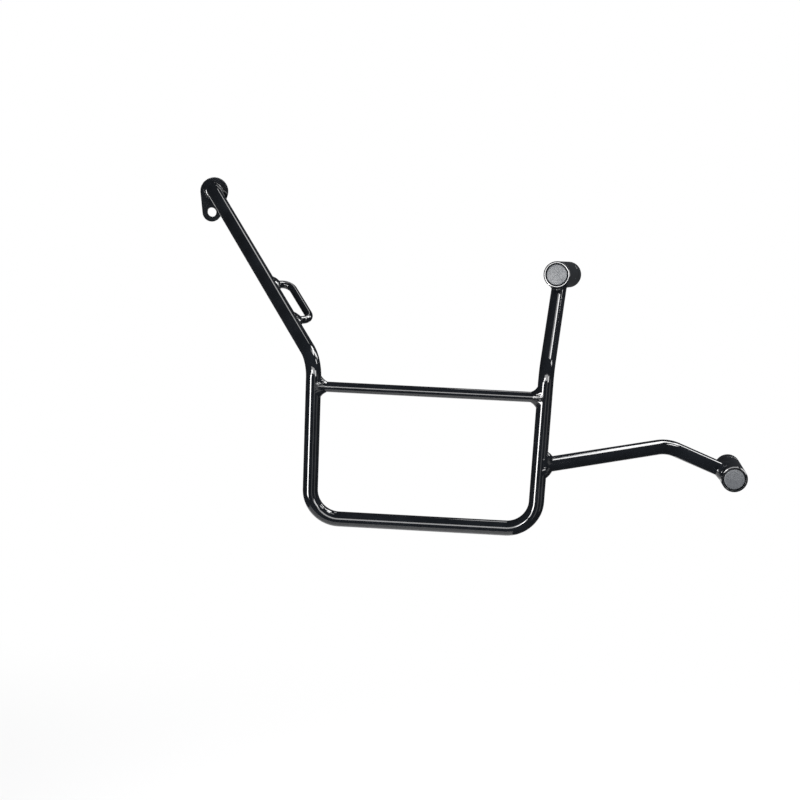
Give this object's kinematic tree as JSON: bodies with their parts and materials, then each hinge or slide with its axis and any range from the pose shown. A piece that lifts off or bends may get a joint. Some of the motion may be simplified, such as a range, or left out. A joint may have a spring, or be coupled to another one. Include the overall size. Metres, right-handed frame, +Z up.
{
  "type": "pannier frame",
  "caption": "Bent steel tube side frame that a soft pannier hangs on, with a cross bar, forward strut, lashing hook, capped mounting bosses and a rear mounting tab.",
  "frame": {"origin": "centre of the upper spacer's mounting face, on the upper bolt's axis", "axes": "+X forward along the machine, +Y inboard towards the machine, +Z up"},
  "size_m": [0.4882, 0.195, 0.2671],
  "materials": {
    "black_coat": "gloss black powder coat",
    "cap_rubber": "matte grey rubber",
    "bolt_steel": "plain turned steel"
  },
  "bodies": {
    "root": {"main_loop_tube": "black_coat", "cross_bar": "black_coat", "front_strut": "black_coat", "lashing_hook": "black_coat", "rear_tab": "black_coat", "cross_bar_rear_weld": "black_coat", "cross_bar_front_weld": "black_coat", "hook_lower_weld": "black_coat", "hook_upper_weld": "black_coat", "strut_weld": "black_coat", "upper_boss_weld": "black_coat", "lower_boss_weld": "black_coat", "rear_tab_weld": "black_coat", "upper_boss": "black_coat", "upper_spacer": "black_coat", "upper_bolt": "bolt_steel", "upper_washer": "bolt_steel", "upper_cap": "cap_rubber", "lower_boss": "black_coat", "lower_spacer": "black_coat", "lower_bolt": "bolt_steel", "lower_washer": "bolt_steel", "lower_cap": "cap_rubber"}
  },
  "joints": []
}
